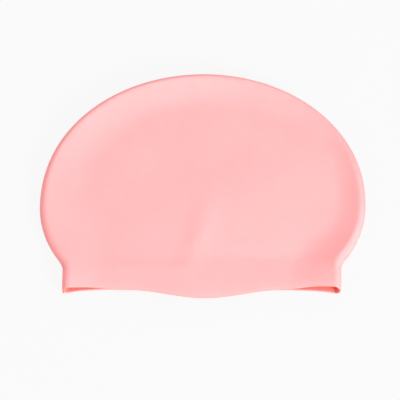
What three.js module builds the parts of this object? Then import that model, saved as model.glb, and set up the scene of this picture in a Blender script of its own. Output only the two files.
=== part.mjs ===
// A moulded silicone swim cap, lying on its side and folded flat by its own weight.
// Millimetres, +Z up. The mouth opens towards -Y, the crown points to +Y, and the cap rests on z = 0.
// The origin is the centre of its footprint.
import * as THREE from "three";

// Outline of the flattened cap, seen from above.
const CAP_WIDTH = 230; // across the widest part of the dome
const MOUTH_WIDTH = 194.6; // across the collar, from fold to fold
const COLLAR_LENGTH = 18.2; // from the rim's corners up to the neck
const SKIRT_LENGTH = 44.4; // from the neck up to the widest level
const CROWN_LENGTH = 99; // from the widest level to the crown
const CROWN_FULLNESS = 2.14; // exponent of the crown's curve, where 2 is an ellipse
const CROWN_LEAN = 2; // how far the crown leans to the right of the rim
const NECK_FILLET = 3.5; // blend between the collar and the dome

// The wall and its rim.
const WALL = 1; // thickness of the shell
const BEAD = 1.3; // thickness of the rounded bead along the rim
const BEAD_WIDTH = 4; // how far the bead tapers into the wall
const RIM_CURL = 0.4; // how far the rim turns inwards

// The rim dips over each ear. The lower sheet's rim is set back in the middle, where the upper one
// covers it, and comes forward beside the corners, where the mouth shows between the two.
const EAR_LOBE = 5.9; // depth of the dip
const EAR_LOBE_WIDTH = 108; // from end to end of the dip
const EAR_LOBE_SHIFT = 2.4; // how far the dip lies to the right of the middle
const CORNER_DROP = 0.9; // how far the rim reaches forward at its corners
const RIM_RISE = 1.4; // how far the upper rim draws back beside them
const RIM_RISE_PLACE = 0.8; // where it does so most, from the middle (0) to the corner (1)
const RIM_RISE_SPREAD = 0.22; // how far to each side of that place it does so
const LOWER_DROP = 1.6; // how far the lower rim comes forward there
const LOWER_SETBACK = 2.5; // most that the lower rim lies behind the upper one
const LOWER_TURN = 0.4; // how far forward its right half is turned, and its left half back

// How the flattened cap stands open. The clear heights are inside, from wall to wall.
const CLEAR_HEIGHT = 6.2; // between the sheets, in the middle
const FOLD_CLEAR_HEIGHT = 12; // inside the rounded folded edge
const FOLD_REACH = 6.5; // measure for the way from the outermost edge in to the crest of the fold
const APRON = 24; // the slope from that crest down to the middle
const CREST_ROUNDING = 1.5; // over which the slope begins
const EDGE_LEVEL = 0.5; // height of the outermost edge, as a share of the crest's

// The right-hand and the left-hand fold, from the rim's corner (along 0) to the crown (along 1).
// The crest is a share of FOLD_CLEAR_HEIGHT, the reach of FOLD_REACH and the apron of APRON.
const RIGHT_FOLD = [
  { along: 0.0, crest: 1.1, reach: 0.7, apron: 1.6 },
  { along: 0.05, crest: 1.17, reach: 0.7, apron: 1.4 },
  { along: 0.09, crest: 1.12, reach: 0.68, apron: 1.1 },
  { along: 0.15, crest: 1.03, reach: 0.66, apron: 0.88 },
  { along: 0.28, crest: 1.02, reach: 0.66, apron: 0.72 },
  { along: 0.38, crest: 0.96, reach: 0.66, apron: 0.62 },
  { along: 0.48, crest: 0.82, reach: 0.62, apron: 0.5 },
  { along: 0.62, crest: 0.8, reach: 0.45, apron: 0.6 },
  { along: 0.8, crest: 0.94, reach: 0.45, apron: 0.88 },
  { along: 1.0, crest: 1.07, reach: 0.52, apron: 0.82 },
];
const LEFT_FOLD = [
  { along: 0.0, crest: 0.92, reach: 0.78, apron: 0.9 },
  { along: 0.05, crest: 0.94, reach: 0.8, apron: 1.0 },
  { along: 0.09, crest: 0.9, reach: 0.8, apron: 1.1 },
  { along: 0.15, crest: 0.84, reach: 0.8, apron: 1.2 },
  { along: 0.28, crest: 0.83, reach: 0.77, apron: 1.2 },
  { along: 0.38, crest: 0.88, reach: 0.72, apron: 1.1 },
  { along: 0.48, crest: 0.95, reach: 0.66, apron: 1.05 },
  { along: 0.62, crest: 1.03, reach: 0.62, apron: 0.98 },
  { along: 0.8, crest: 1.08, reach: 0.57, apron: 0.9 },
  { along: 1.0, crest: 1.07, reach: 0.52, apron: 0.82 },
];

// The clear height along the middle, from the rim (at 0) to the crown (at 1), as a share of CLEAR_HEIGHT.
const SECTIONS = [
  { at: 0.0, height: 1.1 },
  { at: 0.05, height: 1.14 },
  { at: 0.1, height: 1.15 },
  { at: 0.15, height: 1.05 },
  { at: 0.2, height: 1.06 },
  { at: 0.3, height: 1.12 },
  { at: 0.55, height: 1.11 },
  { at: 0.8, height: 0.95 },
  { at: 1.0, height: 0.85 },
];

// Soft swellings and dents of the upper sheet. The places are shares of half the width and of the
// length, the sizes shares of the width, the turn is in degrees and the rise a share of CLEAR_HEIGHT.
const SWELLINGS = [
  { x: 0.42, at: 0.52, long: 0.2, wide: 0.13, turn: 10, rise: 0.14 },
  { x: -0.015, at: 0.265, long: 0.08, wide: 0.024, turn: 75, rise: 0.25 },
  { x: 0.13, at: 0.28, long: 0.1, wide: 0.06, turn: 75, rise: 0.03 },
  { x: 0, at: 0.09, long: 0.04, wide: 0.03, turn: 0, rise: -0.1 },
  { x: 0.38, at: 0.125, long: 0.11, wide: 0.035, turn: 0, rise: -0.17 },
];

// How finely the surface is divided.
const COLUMNS = 16; // from the fold to the middle of a sheet
const CROWN_RINGS = 16; // from the widest level to the crown
// Levels of the rings from the rim to the widest level, as shares of it.
const LOWER_RINGS = [0.05, 0.12, 0.19, 0.25, 0.3, 0.345, 0.39, 0.44, 0.51, 0.61, 0.73, 0.86];
const BEAD_RINGS = 3; // round the edge of the bead
const OUTLINE_STEPS = 600;

// Heights above the rim's corners, called levels.
const WIDEST_LEVEL = COLLAR_LENGTH + SKIRT_LENGTH;
const CAP_LENGTH = WIDEST_LEVEL + CROWN_LENGTH;
const SKIRT_RADIUS = SKIRT_LENGTH / Math.sqrt(1 - (MOUTH_WIDTH / CAP_WIDTH) ** 2);
const WALLS = 2 * WALL;

const clamp = (value, low, high) => Math.min(Math.max(value, low), high);

// Height of an ellipse's quarter, from 0 at its end to 1 at its top, for a share of the way in.
const quarter = (share) => Math.sqrt(1 - (1 - clamp(share, 0, 1)) ** 2);

// A smooth curve through the rows of a table, read at `value` of the column `key`.
function tableAt(rows, key, column, value) {
  const last = rows.length - 1;
  let i = 0;
  while (i < last - 1 && value > rows[i + 1][key]) i++;
  const [a, b] = [rows[i], rows[i + 1]];
  const slope = (p, q) => (q[column] - p[column]) / (q[key] - p[key]);
  const here = slope(a, b);
  const before = i > 0 ? (slope(rows[i - 1], a) + here) / 2 : here;
  const after = i < last - 1 ? (slope(b, rows[i + 2]) + here) / 2 : here;
  const span = b[key] - a[key];
  const t = clamp((value - a[key]) / span, 0, 1);
  const curve = a[column] * (2 * t ** 3 - 3 * t ** 2 + 1) + b[column] * (3 * t ** 2 - 2 * t ** 3);
  return curve + span * (before * (t ** 3 - 2 * t ** 2 + t) + after * (t ** 3 - t ** 2));
}

// Half the cap's width at a level.
function halfWidth(level) {
  const half = CAP_WIDTH / 2;
  if (level >= WIDEST_LEVEL) {
    const up = Math.min((level - WIDEST_LEVEL) / CROWN_LENGTH, 1);
    return half * Math.sqrt(1 - up ** CROWN_FULLNESS);
  }
  const down = Math.min((WIDEST_LEVEL - level) / SKIRT_RADIUS, 1);
  const dome = half * Math.sqrt(1 - down ** 2);
  const collar = MOUTH_WIDTH / 2;
  const overlap = Math.max(NECK_FILLET - Math.abs(dome - collar), 0);
  return Math.max(dome, collar) + overlap ** 2 / (4 * NECK_FILLET);
}

// Points of the right-hand fold, from the rim's corner to the crown, each with its share of the way along.
function foldLine() {
  const points = [];
  const lowerSteps = OUTLINE_STEPS / 2;
  for (let i = 0; i < lowerSteps; i++) {
    const level = (WIDEST_LEVEL * i) / lowerSteps;
    points.push({ x: halfWidth(level), level, along: 0 });
  }
  for (let i = 0; i <= lowerSteps; i++) {
    const level = WIDEST_LEVEL + CROWN_LENGTH * Math.sin((Math.PI / 2) * (i / lowerSteps));
    points.push({ x: halfWidth(level), level, along: 0 });
  }
  for (let i = 1; i < points.length; i++) {
    const [p, q] = [points[i - 1], points[i]];
    q.along = p.along + Math.hypot(q.x - p.x, q.level - p.level);
  }
  const length = points[points.length - 1].along;
  for (const point of points) point.along /= length;
  return points;
}

const FOLD_LINE = foldLine();

// How far a place on the sheet is from the fold, and where along the fold its nearest point lies.
function nearestFold(x, level) {
  let best = { distance: Infinity, along: 0 };
  for (let i = 1; i < FOLD_LINE.length; i++) {
    const [p, q] = [FOLD_LINE[i - 1], FOLD_LINE[i]];
    const [dx, dl] = [q.x - p.x, q.level - p.level];
    const t = clamp(((Math.abs(x) - p.x) * dx + (level - p.level) * dl) / (dx * dx + dl * dl), 0, 1);
    const distance = Math.hypot(Math.abs(x) - p.x - t * dx, level - p.level - t * dl);
    if (distance < best.distance) best = { distance, along: p.along + t * (q.along - p.along) };
  }
  return best;
}

// Outer height of the upper sheet, away from the folds.
function restingHeight(x, level) {
  let share = tableAt(SECTIONS, "at", "height", clamp(level / CAP_LENGTH, 0, 1));
  for (const swelling of SWELLINGS) {
    const turn = THREE.MathUtils.degToRad(swelling.turn);
    const dx = (x - (swelling.x * CAP_WIDTH) / 2) / CAP_WIDTH;
    const dy = (level - swelling.at * CAP_LENGTH) / CAP_WIDTH;
    const along = (dx * Math.cos(turn) + dy * Math.sin(turn)) / swelling.long;
    const across = (dy * Math.cos(turn) - dx * Math.sin(turn)) / swelling.wide;
    share += swelling.rise * Math.exp(-(along ** 2 + across ** 2) / 2);
  }
  return CLEAR_HEIGHT * share + WALLS;
}

// Outer heights of the upper and the lower sheet at a place, which meet at the outermost edge.
function sheetHeights(x, level, onEdge) {
  const fold = nearestFold(x, level);
  const distance = onEdge ? 0 : fold.distance;
  const right = clamp(0.5 + x / FOLD_REACH, 0, 1);
  const either = (column) =>
    tableAt(LEFT_FOLD, "along", column, fold.along) * (1 - right) +
    tableAt(RIGHT_FOLD, "along", column, fold.along) * right;
  const crest = FOLD_CLEAR_HEIGHT * either("crest") + WALLS;
  const edge = crest * EDGE_LEVEL;
  const reach = FOLD_REACH * either("reach");
  const rise = quarter(distance / reach);
  const lower = edge * (1 - rise);
  if (distance < reach) return { upper: edge + (crest - edge) * rise, lower };
  const past = distance - reach;
  const rounded = past < CREST_ROUNDING ? past ** 2 / (2 * CREST_ROUNDING) : past - CREST_ROUNDING / 2;
  const down = Math.min(rounded / (APRON * either("apron")), 1);
  const left = 1 - (3 * down - down ** 3) / 2;
  const rest = restingHeight(x, level);
  return { upper: rest + (crest - rest) * left, lower };
}

// Level of the rim's edge: further out over the ear and at the corners, set back on the lower sheet.
function rimLevel(x, isUpper) {
  const fromLobe = Math.min(Math.abs(x - EAR_LOBE_SHIFT) / (EAR_LOBE_WIDTH / 2), 1);
  const lobe = Math.cos((Math.PI / 2) * fromLobe) ** 2;
  const out = clamp((2 * x) / MOUTH_WIDTH, -1, 1);
  const setback = LOWER_SETBACK * (1 - out ** 4) - LOWER_TURN * out * (1 - out ** 12);
  const forward = LOWER_DROP * out ** 16 * (1 - out ** 40);
  const fromRise = Math.min(Math.abs(Math.abs(out) - RIM_RISE_PLACE) / RIM_RISE_SPREAD, 1);
  const back = RIM_RISE * Math.cos((Math.PI / 2) * fromRise) ** 2;
  return (isUpper ? back : setback - forward) - EAR_LOBE * lobe - CORNER_DROP * out ** 48;
}

// Levels of the rings of points, from the rim to just under the crown.
function ringLevels() {
  const levels = [0, ...LOWER_RINGS.map((share) => share * WIDEST_LEVEL)];
  for (let i = 0; i < CROWN_RINGS; i++) {
    const share = (CROWN_RINGS - i) / CROWN_RINGS;
    const turn = (Math.PI / 2) * ((share + share ** 2) / 2);
    levels.push(WIDEST_LEVEL + CROWN_LENGTH * Math.cos(turn));
  }
  return levels;
}

// One closed ring of the outer surface: over the upper sheet from left to right, and back under the
// lower one.
function ring(level) {
  const points = [];
  const perSheet = 2 * COLUMNS;
  for (let i = 0; i < 2 * perSheet; i++) {
    const isUpper = i < perSheet;
    const inSheet = i % perSheet;
    const share = Math.min(inSheet, perSheet - inSheet) / COLUMNS;
    const across = Math.cos((Math.PI / 2) * (0.7 * share + 0.3 * share ** 2));
    const side = (inSheet < COLUMNS) === isUpper ? -1 : 1;
    const fade = clamp(1 - level / WIDEST_LEVEL, 0, 1) ** 2;
    const nominal = halfWidth(level) * across * side;
    const placed = level + (rimLevel(nominal, isUpper) + BEAD / 2) * fade;
    const x = halfWidth(Math.max(placed, 0)) * across * side;
    const heights = sheetHeights(x, placed, inSheet === 0);
    points.push(new THREE.Vector3(x, placed, isUpper ? heights.upper : heights.lower));
  }
  return points;
}

// The two directions of the surface at a point of a ring: out of the cap, and towards the mouth.
function directions(rings, r, i) {
  const around = rings[r].length;
  const nearRim = rings[Math.max(r - 1, 0)][i];
  const nearCrown = rings[Math.min(r + 1, rings.length - 1)][i];
  const mouthward = nearRim.clone().sub(nearCrown).normalize();
  const sideways = rings[r][(i + 1) % around].clone().sub(rings[r][(i + around - 1) % around]);
  const outward = sideways.cross(mouthward).negate().normalize();
  return { outward, mouthward };
}

// Rings of the whole skin: down the outside from the crown, round the bead, and up the inside.
function skinRings() {
  const levels = ringLevels();
  const rings = levels.map(ring);
  const outside = [];
  const inside = [];
  rings.forEach((points, r) => {
    const toRim = levels[r] - levels[0];
    const taper = clamp(1 - toRim / BEAD_WIDTH, 0, 1) ** 2;
    const outer = [];
    const inner = [];
    points.forEach((point, i) => {
      const { outward } = directions(rings, r, i);
      const inset = RIM_CURL * taper;
      outer.push(point.clone().addScaledVector(outward, -inset));
      inner.push(point.clone().addScaledVector(outward, -inset - WALL - (BEAD - WALL) * taper));
    });
    outside.unshift(outer);
    inside.push(inner);
  });
  const bead = [];
  for (let k = 1; k <= BEAD_RINGS; k++) {
    const turn = (Math.PI * k) / (BEAD_RINGS + 1);
    bead.push(
      rings[0].map((point, i) => {
        const { outward, mouthward } = directions(rings, 0, i);
        return point
          .clone()
          .addScaledVector(outward, -RIM_CURL - (BEAD / 2) * (1 - Math.cos(turn)))
          .addScaledVector(mouthward, (BEAD / 2) * Math.sin(turn));
      }),
    );
  }
  return [...outside, ...bead, ...inside];
}

// The closed shell, as rings of points between an outer and an inner tip at the crown.
function shellGeometry() {
  const rings = skinRings();
  const around = rings[0].length;
  const crownFold = RIGHT_FOLD[RIGHT_FOLD.length - 1];
  const tipHeight = (FOLD_CLEAR_HEIGHT * crownFold.crest + WALLS) * EDGE_LEVEL;
  const outerTip = new THREE.Vector3(0, CAP_LENGTH, tipHeight);
  const innerTip = new THREE.Vector3(0, CAP_LENGTH - WALL, tipHeight);
  const vertices = [outerTip, ...rings.flat(), innerTip];
  for (const vertex of vertices) vertex.x += (CROWN_LEAN * vertex.y) / CAP_LENGTH;
  const at = (r, i) => 1 + r * around + (i % around);
  const faces = [];
  for (let i = 0; i < around; i++) {
    faces.push(0, at(0, i), at(0, i + 1));
    for (let r = 1; r < rings.length; r++) {
      faces.push(at(r - 1, i), at(r, i), at(r, i + 1));
      faces.push(at(r - 1, i), at(r, i + 1), at(r - 1, i + 1));
    }
    faces.push(at(rings.length - 1, i), vertices.length - 1, at(rings.length - 1, i + 1));
  }
  const geometry = new THREE.BufferGeometry().setFromPoints(vertices);
  geometry.setIndex(faces);
  return geometry;
}

// The geometry is moved so that the middle of its footprint is the origin.
function capMesh() {
  const geometry = shellGeometry();
  geometry.computeBoundingBox();
  const middle = geometry.boundingBox.getCenter(new THREE.Vector3());
  geometry.translate(-middle.x, -middle.y, -geometry.boundingBox.min.z);
  geometry.computeVertexNormals();
  const silicone = new THREE.MeshStandardMaterial({ color: 0xfebfbf, roughness: 0.55, metalness: 0 });
  const mesh = new THREE.Mesh(geometry, silicone);
  mesh.name = "cap";
  return mesh;
}

const swimCap = new THREE.Group();
swimCap.name = "swim_cap";
swimCap.add(capMesh());

export default swimCap;
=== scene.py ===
"""A moulded silicone swim cap lying flat on a pale surface. Metres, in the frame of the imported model."""

import math

import bpy
import numpy as np
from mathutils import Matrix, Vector


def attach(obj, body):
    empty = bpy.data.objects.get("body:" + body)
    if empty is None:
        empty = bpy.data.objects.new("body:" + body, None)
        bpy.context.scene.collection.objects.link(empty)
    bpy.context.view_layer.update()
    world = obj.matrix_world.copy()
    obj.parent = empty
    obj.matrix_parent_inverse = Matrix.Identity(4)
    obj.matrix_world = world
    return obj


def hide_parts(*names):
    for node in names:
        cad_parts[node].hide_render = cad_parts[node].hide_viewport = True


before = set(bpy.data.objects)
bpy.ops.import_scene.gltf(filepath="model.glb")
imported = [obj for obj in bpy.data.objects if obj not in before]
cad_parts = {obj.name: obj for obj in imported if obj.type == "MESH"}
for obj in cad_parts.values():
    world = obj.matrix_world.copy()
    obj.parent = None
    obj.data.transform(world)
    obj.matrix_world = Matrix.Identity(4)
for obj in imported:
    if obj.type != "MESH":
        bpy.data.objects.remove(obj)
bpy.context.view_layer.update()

MM = 0.001

# Outline of the flattened cap, seen from above. All sizes here are in millimetres.
CAP_WIDTH = 230.0  # across the widest part of the dome
MOUTH_WIDTH = 194.6  # across the collar, from fold to fold
COLLAR_LENGTH = 18.2  # from the rim's corners up to the neck
SKIRT_LENGTH = 44.4  # from the neck up to the widest level
CROWN_LENGTH = 99.0  # from the widest level to the crown
CROWN_FULLNESS = 2.14  # exponent of the crown's curve, where 2 is an ellipse
CROWN_LEAN = 2.0  # how far the crown leans to the right of the rim
NECK_FILLET = 3.5  # blend between the collar and the dome

# The wall and its rim.
WALL = 1.0  # thickness of the shell
BEAD = 1.3  # thickness of the rounded bead along the rim
BEAD_WIDTH = 4.0  # how far the bead tapers into the wall
RIM_CURL = 0.4  # how far the rim turns inwards
EAR_LOBE = 5.9  # depth of the rim's dip over each ear
EAR_LOBE_WIDTH = 108.0  # from end to end of the dip
EAR_LOBE_SHIFT = 2.4  # how far the dip lies to the right of the middle
RIM_RISE = 1.4  # how far the upper rim draws back beside its corners
RIM_RISE_PLACE = 0.8  # where it does so most, from the middle (0) to the corner (1)
RIM_RISE_SPREAD = 0.22  # how far to each side of that place it does so
CORNER_DROP = 0.9  # how far the rim reaches forward at its corners
LOWER_DROP = 1.6  # how far the lower rim comes forward beside them
LOWER_SETBACK = 2.5  # most that the lower rim lies behind the upper one
LOWER_TURN = 0.4  # how far forward its right half is turned, and its left half back

# How the flattened cap stands open.
CLEAR_HEIGHT = 6.2  # between the sheets, in the middle, from wall to wall
FOLD_CLEAR_HEIGHT = 12.0  # inside the rounded folded edge
FOLD_REACH = 6.5  # measure for the way from the outermost edge in to the crest of the fold
APRON = 24.0  # the slope from that crest down to the middle
CREST_ROUNDING = 1.5  # over which the slope begins
EDGE_LEVEL = 0.5  # height of the outermost edge, as a share of the crest's

# The fold, from the rim's corners (0) to the crown (1): along, then a left and a right value each of the
# crest as a share of FOLD_CLEAR_HEIGHT, of how far in it lies as a share of FOLD_REACH, and of the slope
# inside it as a share of APRON.
FOLD = np.array(
    [
        (0.0, 0.92, 1.1, 0.78, 0.7, 0.9, 1.6),
        (0.05, 0.94, 1.17, 0.8, 0.7, 1.0, 1.4),
        (0.09, 0.9, 1.12, 0.8, 0.68, 1.1, 1.1),
        (0.15, 0.84, 1.03, 0.8, 0.66, 1.2, 0.88),
        (0.28, 0.83, 1.02, 0.77, 0.66, 1.2, 0.72),
        (0.38, 0.88, 0.96, 0.72, 0.66, 1.1, 0.62),
        (0.48, 0.95, 0.82, 0.66, 0.62, 1.05, 0.5),
        (0.62, 1.03, 0.8, 0.62, 0.45, 0.98, 0.6),
        (0.8, 1.08, 0.94, 0.57, 0.45, 0.9, 0.88),
        (1.0, 1.07, 1.07, 0.52, 0.52, 0.82, 0.82),
    ]
)

# The clear height along the middle, from the rim (0) to the crown (1), as shares of CLEAR_HEIGHT.
SECTIONS = np.array(
    [
        (0.0, 1.1),
        (0.05, 1.14),
        (0.1, 1.15),
        (0.15, 1.05),
        (0.2, 1.06),
        (0.3, 1.12),
        (0.55, 1.11),
        (0.8, 0.95),
        (1.0, 0.85),
    ]
)

# Soft swellings and dents of the upper sheet: x as a share of half the width, place as a share of the length,
# long and wide as shares of the width, turn in degrees, rise as a share of CLEAR_HEIGHT. The last is a small
# dimple, finer than the CAD mesh.
SWELLINGS = [
    (0.42, 0.52, 0.2, 0.13, 10.0, 0.14),
    (-0.015, 0.265, 0.08, 0.024, 75.0, 0.25),
    (0.13, 0.28, 0.1, 0.06, 75.0, 0.03),
    (0.0, 0.09, 0.04, 0.03, 0.0, -0.1),
    (0.38, 0.125, 0.11, 0.035, 0.0, -0.17),
    (-0.145, 0.465, 0.012, 0.012, 0.0, -0.015),
]

WIDEST_LEVEL = COLLAR_LENGTH + SKIRT_LENGTH
CAP_LENGTH = WIDEST_LEVEL + CROWN_LENGTH
SKIRT_RADIUS = SKIRT_LENGTH / math.sqrt(1 - (MOUTH_WIDTH / CAP_WIDTH) ** 2)

# How finely the visible surface is divided.
COLUMNS = 56  # from the fold to the middle of a sheet
COLUMN_CROWDING = 0.25  # how much closer together the columns lie near the folds
LOWER_RINGS = 56  # from the rim to the widest level
RIM_CROWDING = 1.15  # exponent that draws these rings towards the rim
CROWN_RINGS = 60  # from the widest level to the crown
BEAD_RINGS = 6  # round the edge of the bead
OUTLINE_STEPS = 1200  # along each half of the fold line

# The silicone, outside: two tones and two degrees of roughness, between which the surface varies.
OUTER_TONES = ((0.975, 0.413, 0.414), (0.985, 0.433, 0.434))
ROUGHNESS = (0.6, 0.7)

# Painted glow and shade: the inside's deeper orange, which stands for light glowing through the thin wall and
# bouncing in the mouth (the rubber itself is one colour), how far in from the rim it is fully reached, in
# millimetres, and the share of it on the front of the upper sheet's bead, where it paints a thin shade line.
INSIDE_PAINTED_GLOW = (0.95, 0.19, 0.06)
PAINTED_GLOW_FADE = 5.0
BEAD_PAINTED_SHADE = 0.5

# How light spreads in the silicone, in metres for each unit of red, green and blue.
SPREAD_SCALE = 0.0008
SPREAD = (3.0, 0.4, 0.25)

# The floor, which glows evenly, and the light from all around, from the lowest tint to the highest.
FLOOR_SIZE = 12.0
FLOOR_TONE = (0.04, 0.04, 0.04, 1)
FLOOR_GLOW = 0.908
SKY_TINTS = ((1.0, 0.5, 0.5), (1.0, 0.91, 0.91))
SKY_STOPS = (0.0, 0.2)
SKY_STRENGTH = 0.922

# The soft key light, which is aimed at the origin, in metres and watts.
KEY_PLACE = (1.27, -1.42, 1.10)
KEY_SIZE = 0.9
KEY_POWER = 45.7

# The camera: what it looks at and how far away it is, in metres, how high it stands above the floor, in
# degrees, and its lens, in millimetres.
CAMERA_TARGET = (-0.0019, -0.0111, 0.007)
CAMERA_DISTANCE = 1.57
CAMERA_ELEVATION = 70.4
CAMERA_LENS = 200.0

# The sockets of a Mix node that mixes two colours.
MIX_SOCKETS = ("Factor_Float", "A_Color", "B_Color")


def table_at(rows, column, value):
    """A smooth curve through the rows of a table, read at the values of its first column."""
    key = rows[:, 0]
    y = rows[:, column]
    slopes = np.diff(y) / np.diff(key)
    tangents = np.concatenate([slopes[:1], (slopes[:-1] + slopes[1:]) / 2, slopes[-1:]])
    i = np.clip(np.searchsorted(key, value, side="right") - 1, 0, len(key) - 2)
    span = key[i + 1] - key[i]
    t = np.clip((value - key[i]) / span, 0, 1)
    curve = y[i] * (2 * t**3 - 3 * t**2 + 1) + y[i + 1] * (3 * t**2 - 2 * t**3)
    return curve + span * (tangents[i] * (t**3 - 2 * t**2 + t) + tangents[i + 1] * (t**3 - t**2))


def quarter(share):
    """Height of a quarter of an ellipse, from 0 at its end to 1 at its top."""
    return np.sqrt(1 - (1 - np.clip(share, 0, 1)) ** 2)


def half_width(level):
    """Half the cap's width at a level above the rim's corners."""
    half = CAP_WIDTH / 2
    up = np.clip((level - WIDEST_LEVEL) / CROWN_LENGTH, 0, 1)
    crown = half * np.sqrt(1 - up**CROWN_FULLNESS)
    down = np.clip((WIDEST_LEVEL - level) / SKIRT_RADIUS, 0, 1)
    dome = half * np.sqrt(1 - down**2)
    collar = MOUTH_WIDTH / 2
    overlap = np.maximum(NECK_FILLET - np.abs(dome - collar), 0)
    skirt = np.maximum(dome, collar) + overlap**2 / (4 * NECK_FILLET)
    return np.where(level >= WIDEST_LEVEL, crown, skirt)


def fold_line():
    """Points of the right-hand fold from the rim's corner to the crown, and their shares of the way along."""
    level = np.concatenate(
        [
            np.linspace(0, WIDEST_LEVEL, OUTLINE_STEPS, endpoint=False),
            WIDEST_LEVEL + CROWN_LENGTH * np.sin(np.linspace(0, math.pi / 2, OUTLINE_STEPS)),
        ]
    )
    points = np.stack([half_width(level), level], axis=1)
    steps = np.hypot(*np.diff(points, axis=0).T)
    along = np.concatenate([[0], np.cumsum(steps)])
    return points, along / along[-1]


FOLD_POINTS, FOLD_ALONG = fold_line()


def nearest_fold(x, level):
    """How far each place is from the fold, and where along the fold its nearest point lies."""
    p, q = FOLD_POINTS[:-1], FOLD_POINTS[1:]
    step = q - p
    place = np.stack([np.abs(x), level], axis=-1)[..., None, :]
    t = np.clip(((place - p) * step).sum(-1) / (step**2).sum(-1), 0, 1)
    away = np.hypot(*np.moveaxis(place - p - t[..., None] * step, -1, 0))
    best = away.argmin(-1)
    t = np.take_along_axis(t, best[..., None], -1)[..., 0]
    distance = np.take_along_axis(away, best[..., None], -1)[..., 0]
    return distance, FOLD_ALONG[best] + t * (FOLD_ALONG[best + 1] - FOLD_ALONG[best])


def resting_height(x, level):
    """Outer height of the upper sheet, away from the folds."""
    share = table_at(SECTIONS, 1, np.clip(level / CAP_LENGTH, 0, 1))
    for place_x, at, long, wide, turn, rise in SWELLINGS:
        dx = (x - place_x * CAP_WIDTH / 2) / CAP_WIDTH
        dy = (level - at * CAP_LENGTH) / CAP_WIDTH
        c, s = math.cos(math.radians(turn)), math.sin(math.radians(turn))
        along = (dx * c + dy * s) / long
        across = (dy * c - dx * s) / wide
        share = share + rise * np.exp(-(along**2 + across**2) / 2)
    return CLEAR_HEIGHT * share + 2 * WALL


def sheet_heights(x, level, on_edge):
    """Outer heights of the upper and lower sheets, which meet at the outermost edge."""
    distance, along = nearest_fold(x, level)
    distance = np.where(on_edge, 0, distance)
    right = np.clip(0.5 + x / FOLD_REACH, 0, 1)
    crest_share, reach_share, apron_share = (
        table_at(FOLD, column, along) * (1 - right) + table_at(FOLD, column + 1, along) * right
        for column in (1, 3, 5)
    )
    crest = FOLD_CLEAR_HEIGHT * crest_share + 2 * WALL
    edge = crest * EDGE_LEVEL
    reach = FOLD_REACH * reach_share
    rise = quarter(distance / reach)
    past = np.maximum(distance - reach, 0)
    rounded = np.where(past < CREST_ROUNDING, past**2 / (2 * CREST_ROUNDING), past - CREST_ROUNDING / 2)
    down = np.minimum(rounded / (APRON * apron_share), 1)
    left = 1 - (3 * down - down**3) / 2
    rest = resting_height(x, level)
    inside = rest + (crest - rest) * left
    upper = np.where(distance < reach, edge + (crest - edge) * rise, inside)
    return upper, edge * (1 - rise)


def rim_level(x, is_upper):
    """Level of the rim's edge: further out over the ear and at the corners, set back on the lower sheet."""
    from_lobe = np.minimum(np.abs(x - EAR_LOBE_SHIFT) / (EAR_LOBE_WIDTH / 2), 1)
    lobe = np.cos(math.pi / 2 * from_lobe) ** 2
    out = np.clip(2 * x / MOUTH_WIDTH, -1, 1)
    setback = LOWER_SETBACK * (1 - out**4) - LOWER_TURN * out * (1 - out**12)
    forward = LOWER_DROP * out**16 * (1 - out**40)
    from_rise = np.minimum(np.abs(np.abs(out) - RIM_RISE_PLACE) / RIM_RISE_SPREAD, 1)
    back = RIM_RISE * np.cos(math.pi / 2 * from_rise) ** 2
    return np.where(is_upper, back, setback - forward) - EAR_LOBE * lobe - CORNER_DROP * out**48


def ring_levels():
    """Levels of the rings of points, from the rim to just under the crown."""
    lower = WIDEST_LEVEL * np.linspace(0, 1, LOWER_RINGS, endpoint=False) ** RIM_CROWDING
    share = np.arange(CROWN_RINGS, 0, -1) / CROWN_RINGS
    return np.concatenate([lower, WIDEST_LEVEL + CROWN_LENGTH * np.cos(math.pi / 2 * share)])


def outer_rings():
    """Closed rings of the outer surface, from the rim to just under the crown: [ring, place, xyz]."""
    per_sheet = 2 * COLUMNS
    place = np.arange(2 * per_sheet)
    is_upper = place < per_sheet
    in_sheet = place % per_sheet
    share = np.minimum(in_sheet, per_sheet - in_sheet) / COLUMNS
    turn = (1 - COLUMN_CROWDING) * share + COLUMN_CROWDING * share**2
    across = np.cos(math.pi / 2 * turn)
    side = np.where((in_sheet < COLUMNS) == is_upper, -1, 1)
    level = ring_levels()[:, None]
    fade = np.clip(1 - level / WIDEST_LEVEL, 0, 1) ** 2
    placed = level + (rim_level(half_width(level) * across * side, is_upper) + BEAD / 2) * fade
    x = half_width(np.maximum(placed, 0)) * across * side
    rings = []
    for ring_x, ring_level in zip(x, placed):
        upper, lower = sheet_heights(ring_x, ring_level, in_sheet == 0)
        rings.append(np.stack([ring_x, ring_level, np.where(is_upper, upper, lower)], axis=-1))
    return np.array(rings)


def unit(v):
    """Vectors of length 1 in the same directions."""
    return v / np.linalg.norm(v, axis=-1, keepdims=True)


def skin_rings():
    """Rings of the whole skin: down the outside from the crown, round the bead, and up the inside."""
    rings = outer_rings()
    levels = ring_levels()
    near_rim = np.concatenate([rings[:1], rings[:-1]])
    near_crown = np.concatenate([rings[1:], rings[-1:]])
    mouthward = unit(near_rim - near_crown)
    sideways = np.roll(rings, -1, axis=1) - np.roll(rings, 1, axis=1)
    outward = unit(np.cross(mouthward, sideways))
    taper = (np.clip(1 - levels / BEAD_WIDTH, 0, 1) ** 2)[:, None, None]
    outside = rings - outward * RIM_CURL * taper
    inside = outside - outward * (WALL + (BEAD - WALL) * taper)
    bead = []
    for k in range(1, BEAD_RINGS + 1):
        turn = math.pi * k / (BEAD_RINGS + 1)
        inset = outward[0] * BEAD / 2 * (1 - math.cos(turn))
        bead.append(outside[0] - inset + mouthward[0] * BEAD / 2 * math.sin(turn))
    return np.concatenate([outside[::-1], np.array(bead), inside])


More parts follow.
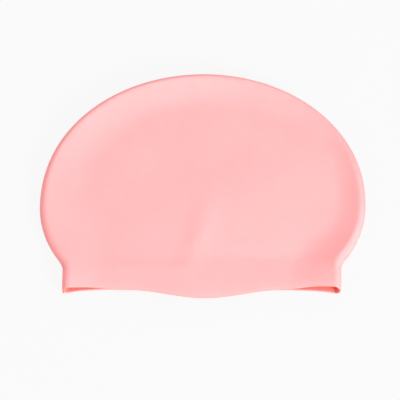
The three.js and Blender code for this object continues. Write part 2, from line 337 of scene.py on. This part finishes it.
def painted_glow_and_shade_share(around):
    """Share of painted glow and shade at each point of the rings: 0 outside, 1 inside, and in between at the
    rim, with painted shade on the front of the upper sheet's bead.
    """
    levels = ring_levels()
    turn = math.pi * np.arange(1, BEAD_RINGS + 1) / (BEAD_RINGS + 1)
    on_upper = np.arange(around) < around // 2
    bead = BEAD_PAINTED_SHADE * np.outer(np.sin(turn) ** 2, on_upper)
    inner = np.repeat(np.clip(levels / PAINTED_GLOW_FADE, 0, 1), around)
    return np.concatenate([np.zeros(len(levels) * around), bead.ravel(), inner])


def cap_mesh():
    """The closed shell of the cap, moved so that the middle of its footprint is the origin."""
    rings = skin_rings()
    count, around = rings.shape[:2]
    tip_height = (FOLD_CLEAR_HEIGHT * FOLD[-1, 1] + 2 * WALL) * EDGE_LEVEL
    tips = np.array([(0, CAP_LENGTH, tip_height), (0, CAP_LENGTH - WALL, tip_height)])
    vertices = np.concatenate([rings.reshape(-1, 3), tips])
    vertices[:, 0] += CROWN_LEAN * vertices[:, 1] / CAP_LENGTH
    middle = (vertices.min(0) + vertices.max(0)) / 2
    vertices -= (middle[0], middle[1], vertices[:, 2].min())
    outer_tip, inner_tip = count * around, count * around + 1
    faces = []
    for i in range(around):
        j = (i + 1) % around
        faces.append((outer_tip, i, j))
        for start in range(0, outer_tip - around, around):
            end = start + around
            faces.append((start + i, end + i, end + j, start + j))
        faces.append((outer_tip - around + i, inner_tip, outer_tip - around + j))
    mesh = bpy.data.meshes.new("cap_silicone")
    mesh.from_pydata((vertices * MM).tolist(), [], faces)
    mesh.shade_smooth()
    # The "inside" attribute holds each point's share of painted glow and shade, for the material.
    inside = mesh.attributes.new("inside", "FLOAT", "POINT")
    inside.data.foreach_set("value", np.append(painted_glow_and_shade_share(around), (0, 1)))
    return mesh


def node(tree, kind, **values):
    """A new node of a material with its named inputs set to numbers, colours or links."""
    made = tree.nodes.new(kind)
    for name, value in values.items():
        socket = made.inputs[name.replace("_", " ")]
        if isinstance(value, bpy.types.NodeSocket):
            tree.links.new(value, socket)
        else:
            socket.default_value = value
    return made


def ramp(tree, value, low, high, stops=(0.35, 0.65)):
    """A colour ramp between two colours."""
    made = node(tree, "ShaderNodeValToRGB", Fac=value)
    for element, position, colour in zip(made.color_ramp.elements, stops, (low, high)):
        element.position = position
        element.color = (*colour, 1)
    return made.outputs["Color"]


def blend(tree, share, colour, other):
    """A mix of a linked colour and a plain one."""
    made = tree.nodes.new("ShaderNodeMix")
    made.data_type = "RGBA"
    factor, first, second = (next(s for s in made.inputs if s.identifier == name) for name in MIX_SOCKETS)
    tree.links.new(share, factor)
    tree.links.new(colour, first)
    second.default_value = (*other, 1)
    return next(s for s in made.outputs if s.type == "RGBA")


def silicone_material():
    """Matt moulded silicone rubber: slightly translucent, with a fine cast grain and faint uneven tone, and
    with a painted glow and shade on the inside and on the front of the rim's bead.
    """
    material = bpy.data.materials.new("salmon_silicone")
    material.use_nodes = True
    tree = material.node_tree
    shader = tree.nodes["Principled BSDF"]
    where = tree.nodes.new("ShaderNodeTexCoord").outputs["Object"]
    cloudy = node(tree, "ShaderNodeTexNoise", Vector=where, Scale=22.0, Detail=3.0, Roughness=0.5)
    tone = ramp(tree, cloudy.outputs["Fac"], *OUTER_TONES)
    # Painted glow and shade: the "inside" attribute mixes a deeper orange into the base colour on the inner
    # skin and on the bead's front.
    inside = tree.nodes.new("ShaderNodeAttribute")
    inside.attribute_name = "inside"
    tree.links.new(blend(tree, inside.outputs["Fac"], tone, INSIDE_PAINTED_GLOW), shader.inputs["Base Color"])
    blotches = node(tree, "ShaderNodeTexNoise", Vector=where, Scale=60.0, Detail=2.0)
    dull = ramp(tree, blotches.outputs["Fac"], *((value,) * 3 for value in ROUGHNESS))
    tree.links.new(dull, shader.inputs["Roughness"])
    grain = node(tree, "ShaderNodeTexNoise", Vector=where, Scale=1600.0, Detail=2.0)
    drape = node(tree, "ShaderNodeTexNoise", Vector=where, Scale=45.0, Detail=1.0)
    fine = node(tree, "ShaderNodeBump", Height=grain.outputs["Fac"], Strength=0.25, Distance=0.00006)
    broad = node(tree, "ShaderNodeBump", Height=drape.outputs["Fac"], Strength=0.3, Distance=0.0004)
    tree.links.new(fine.outputs["Normal"], broad.inputs["Normal"])
    tree.links.new(broad.outputs["Normal"], shader.inputs["Normal"])
    shader.inputs["IOR"].default_value = 1.41
    shader.inputs["Specular IOR Level"].default_value = 0.2
    shader.inputs["Subsurface Weight"].default_value = 0.3
    shader.inputs["Subsurface Radius"].default_value = SPREAD
    shader.inputs["Subsurface Scale"].default_value = SPREAD_SCALE
    return material


def add_cap():
    """The finely divided shell, which is shown in place of the CAD node."""
    cap = bpy.data.objects.new("cap_silicone", cap_mesh())
    bpy.context.scene.collection.objects.link(cap)
    cap.data.materials.append(silicone_material())
    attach(cap, "root")
    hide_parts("cap")


def add_floor():
    """A plain pale floor, which neither lights the cap nor shows in it."""
    half = FLOOR_SIZE / 2
    mesh = bpy.data.meshes.new("floor")
    corners = [(-half, -half, 0), (half, -half, 0), (half, half, 0), (-half, half, 0)]
    mesh.from_pydata(corners, [], [(0, 1, 2, 3)])
    floor = bpy.data.objects.new("floor", mesh)
    bpy.context.scene.collection.objects.link(floor)
    material = bpy.data.materials.new("pale_floor")
    material.use_nodes = True
    shader = material.node_tree.nodes["Principled BSDF"]
    shader.inputs["Base Color"].default_value = FLOOR_TONE
    shader.inputs["Roughness"].default_value = 0.9
    shader.inputs["Specular IOR Level"].default_value = 0.0
    shader.inputs["Emission Color"].default_value = (1, 1, 1, 1)
    shader.inputs["Emission Strength"].default_value = FLOOR_GLOW
    mesh.materials.append(material)
    floor.visible_diffuse = False
    floor.visible_glossy = False


def add_sky():
    """Soft light from all around, which is rosier from below."""
    scene = bpy.context.scene
    scene.world = scene.world or bpy.data.worlds.new("world")
    scene.world.use_nodes = True
    tree = scene.world.node_tree
    direction = tree.nodes.new("ShaderNodeTexCoord").outputs["Generated"]
    facing = node(tree, "ShaderNodeSeparateXYZ", Vector=direction)
    sky = ramp(tree, facing.outputs["Z"], *SKY_TINTS, SKY_STOPS)
    background = tree.nodes["Background"]
    tree.links.new(sky, background.inputs["Color"])
    background.inputs["Strength"].default_value = SKY_STRENGTH


def add_key():
    """A round soft light from the lower right."""
    lamp = bpy.data.lights.new("key", "AREA")
    lamp.shape = "DISK"
    lamp.size = KEY_SIZE
    lamp.energy = KEY_POWER
    light = bpy.data.objects.new("key", lamp)
    light.location = KEY_PLACE
    light.rotation_mode = "QUATERNION"
    light.rotation_quaternion = (-Vector(KEY_PLACE)).to_track_quat("-Z", "Y")
    bpy.context.scene.collection.objects.link(light)


def add_camera():
    """A long lens from high up in front of the mouth."""
    elevation = math.radians(CAMERA_ELEVATION)
    data = bpy.data.cameras.new("camera")
    data.lens = CAMERA_LENS
    camera = bpy.data.objects.new("camera", data)
    back = Vector((0, -math.cos(elevation), math.sin(elevation)))
    camera.location = Vector(CAMERA_TARGET) + back * CAMERA_DISTANCE
    camera.rotation_mode = "QUATERNION"
    camera.rotation_quaternion = (-back).to_track_quat("-Z", "Y")
    bpy.context.scene.collection.objects.link(camera)
    bpy.context.scene.camera = camera


add_cap()
add_floor()
add_sky()
add_key()
add_camera()
bpy.context.scene.view_settings.view_transform = "Standard"
